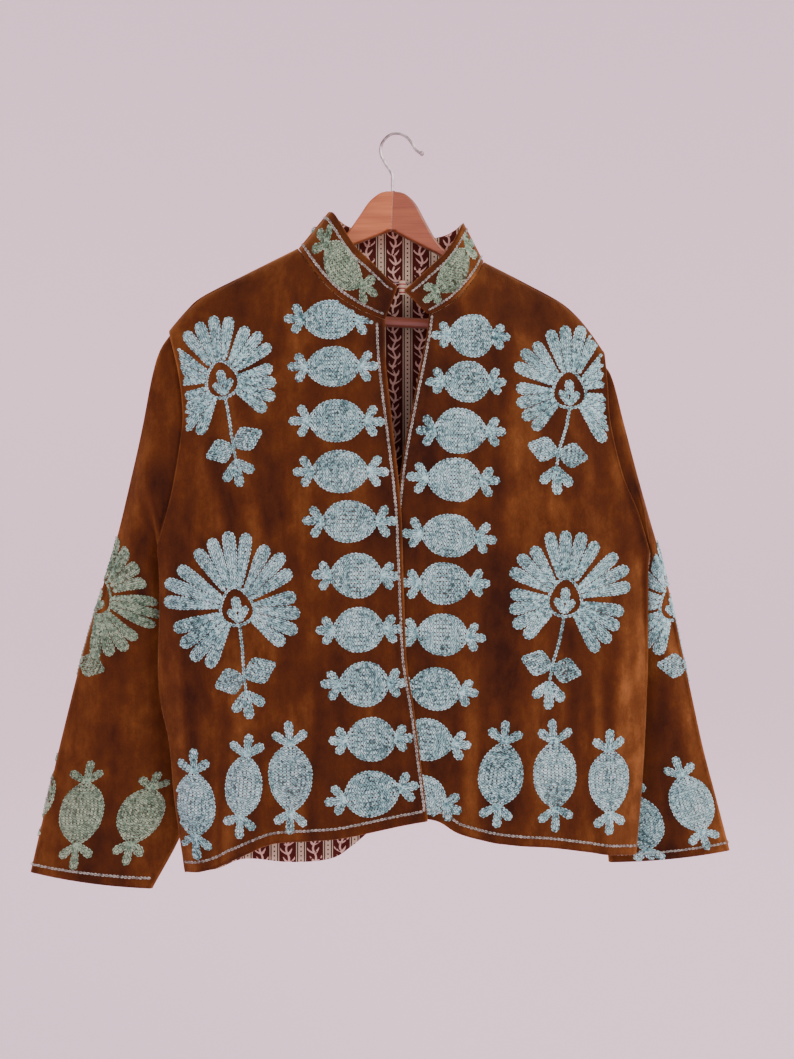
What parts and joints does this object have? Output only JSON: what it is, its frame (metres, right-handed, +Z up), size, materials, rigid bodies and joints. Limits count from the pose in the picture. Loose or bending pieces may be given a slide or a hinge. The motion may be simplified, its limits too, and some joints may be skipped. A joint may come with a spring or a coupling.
{
  "type": "embroidered jacket on a hanger",
  "caption": "Long-sleeved velvet jacket with a stand collar and chain-stitch embroidery, hanging on a wooden hanger with a wire hook.",
  "frame": {"origin": "inner top of the hook's crook, where the peg holds the hanger", "axes": "+Z up, -Y out of the jacket's front, +X towards the wearer's left sleeve"},
  "size_m": [0.7414, 0.0981, 0.7943],
  "materials": {
    "velvet": "brown cut-pile velvet",
    "lining": "matt printed cotton",
    "wood": "clear lacquered",
    "steel": "plain wire"
  },
  "bodies": {
    "root": {"front_right": "velvet", "front_left": "velvet", "back": "velvet", "lining_back": "lining", "sleeve_right": "velvet", "sleeve_left": "velvet", "collar": "velvet", "hanger": "wood", "hanger_bar": "wood", "hook": "steel"}
  },
  "joints": []
}
